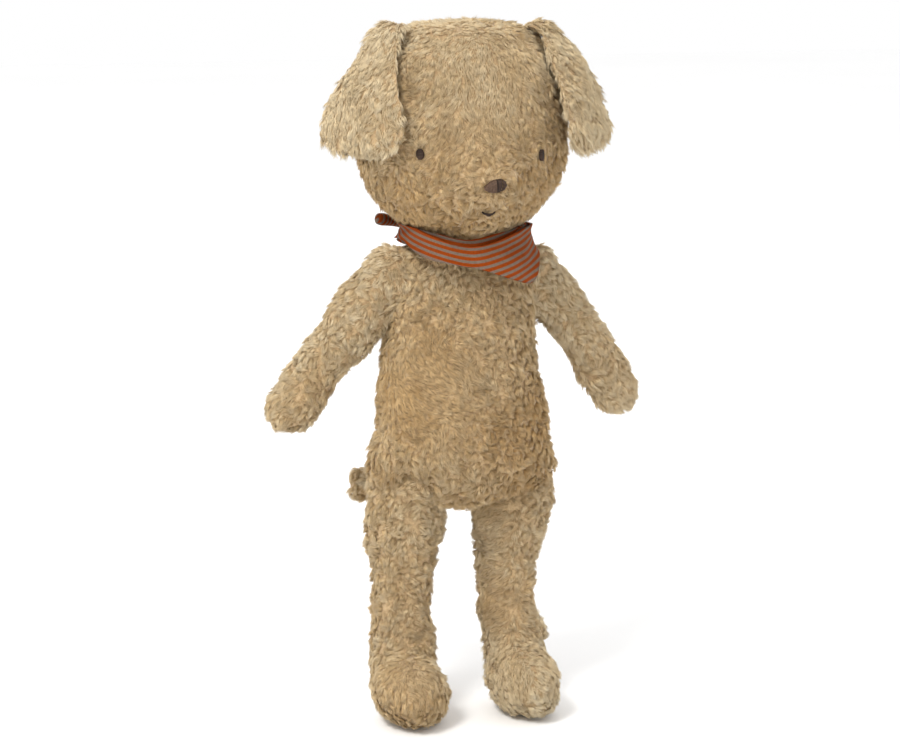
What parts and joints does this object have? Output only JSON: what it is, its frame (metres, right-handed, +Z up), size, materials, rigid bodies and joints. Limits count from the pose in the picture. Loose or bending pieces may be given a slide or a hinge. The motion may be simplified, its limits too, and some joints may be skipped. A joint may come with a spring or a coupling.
{
  "type": "plush dog",
  "caption": "Soft plush dog standing upright, with a round head, folded flap ears, long limbs, a short tail and a striped jersey neck scarf.",
  "frame": {"origin": "middle of the toy's footprint, on the surface that the soles stand on", "axes": "+Z up along the body, -Y forwards where the face looks, +X towards the dog's own left"},
  "size_m": [0.1644, 0.1114, 0.3],
  "materials": {
    "plush_fur": "matte",
    "plush_fur_light": "matte",
    "filling": "matte",
    "embroidery_thread": "satin",
    "striped_jersey": "matte"
  },
  "bodies": {
    "torso": {"torso_stuffing": "filling", "belly_panel": "plush_fur", "back_panel_right": "plush_fur_light", "back_panel_left": "plush_fur"},
    "neck": {"neck_stuffing": "filling", "neck_tube": "plush_fur"},
    "head": {"head_stuffing": "filling", "head_centre_panel": "plush_fur_light", "head_side_panel_right": "plush_fur", "head_side_panel_left": "plush_fur", "nose": "embroidery_thread", "mouth": "embroidery_thread", "eye_right": "embroidery_thread", "eye_left": "embroidery_thread"},
    "scarf": {"scarf_wrap": "striped_jersey", "scarf_knot": "striped_jersey", "scarf_short_end": "striped_jersey", "scarf_long_end": "striped_jersey"},
    "tail": {"tail_stuffing": "filling", "tail_upper_panel": "plush_fur", "tail_lower_panel": "plush_fur"},
    "ear_right": {"ear_right_outer": "plush_fur_light", "ear_right_inner": "plush_fur"},
    "arm_right": {"arm_right_stuffing": "filling", "arm_right_front_panel": "plush_fur", "arm_right_back_panel": "plush_fur_light"},
    "leg_right": {"leg_right_stuffing": "filling", "leg_right_inner_panel": "plush_fur", "leg_right_outer_panel": "plush_fur_light"},
    "ear_left": {"ear_left_outer": "plush_fur_light", "ear_left_inner": "plush_fur"},
    "arm_left": {"arm_left_stuffing": "filling", "arm_left_front_panel": "plush_fur", "arm_left_back_panel": "plush_fur_light"},
    "leg_left": {"leg_left_stuffing": "filling", "leg_left_inner_panel": "plush_fur", "leg_left_outer_panel": "plush_fur_light"}
  },
  "joints": [
    {"name": "neck_nod", "type": "hinge", "parent": "torso", "child": "neck", "pos_m": [0, -0.00364, 0.206], "axis": [1, 0, 0], "range_deg": [-15, 15]},
    {"name": "head_turn", "type": "hinge", "parent": "neck", "child": "head", "pos_m": [0, -0.00364, 0.206], "axis": [0, 0, 1], "range_deg": [-35, 35]},
    {"name": "scarf_turn", "type": "hinge", "parent": "neck", "child": "scarf", "pos_m": [0, -0.00364, 0.206], "axis": [0, 0, 1], "range_deg": [-10, 3]},
    {"name": "ear_right_flop", "type": "hinge", "parent": "head", "child": "ear_right", "pos_m": [-0.0332, -0.01064, 0.2958], "axis": [-0.6702, 0.7422, 0], "range_deg": [-2, 90]},
    {"name": "ear_left_flop", "type": "hinge", "parent": "head", "child": "ear_left", "pos_m": [0.0332, -0.01064, 0.2958], "axis": [-0.6702, -0.7422, 0], "range_deg": [-2, 90]},
    {"name": "shoulder_right_lift", "type": "hinge", "parent": "torso", "child": "arm_right", "pos_m": [-0.0295, -0.00364, 0.1895], "axis": [0, 1, 0], "range_deg": [-8, 60]},
    {"name": "shoulder_left_lift", "type": "hinge", "parent": "torso", "child": "arm_left", "pos_m": [0.0295, -0.00364, 0.1895], "axis": [0, -1, 0], "range_deg": [-8, 60]},
    {"name": "hip_right_swing", "type": "hinge", "parent": "torso", "child": "leg_right", "pos_m": [-0.024, 0.00336, 0.1], "axis": [-1, 0, 0], "range_deg": [-20, 90]},
    {"name": "hip_left_swing", "type": "hinge", "parent": "torso", "child": "leg_left", "pos_m": [0.024, 0.00336, 0.1], "axis": [-1, 0, 0], "range_deg": [-20, 90]},
    {"name": "tail_wag", "type": "hinge", "parent": "torso", "child": "tail", "pos_m": [0, 0.02336, 0.103], "axis": [0, 0, 1], "range_deg": [-35, 20]}
  ]
}
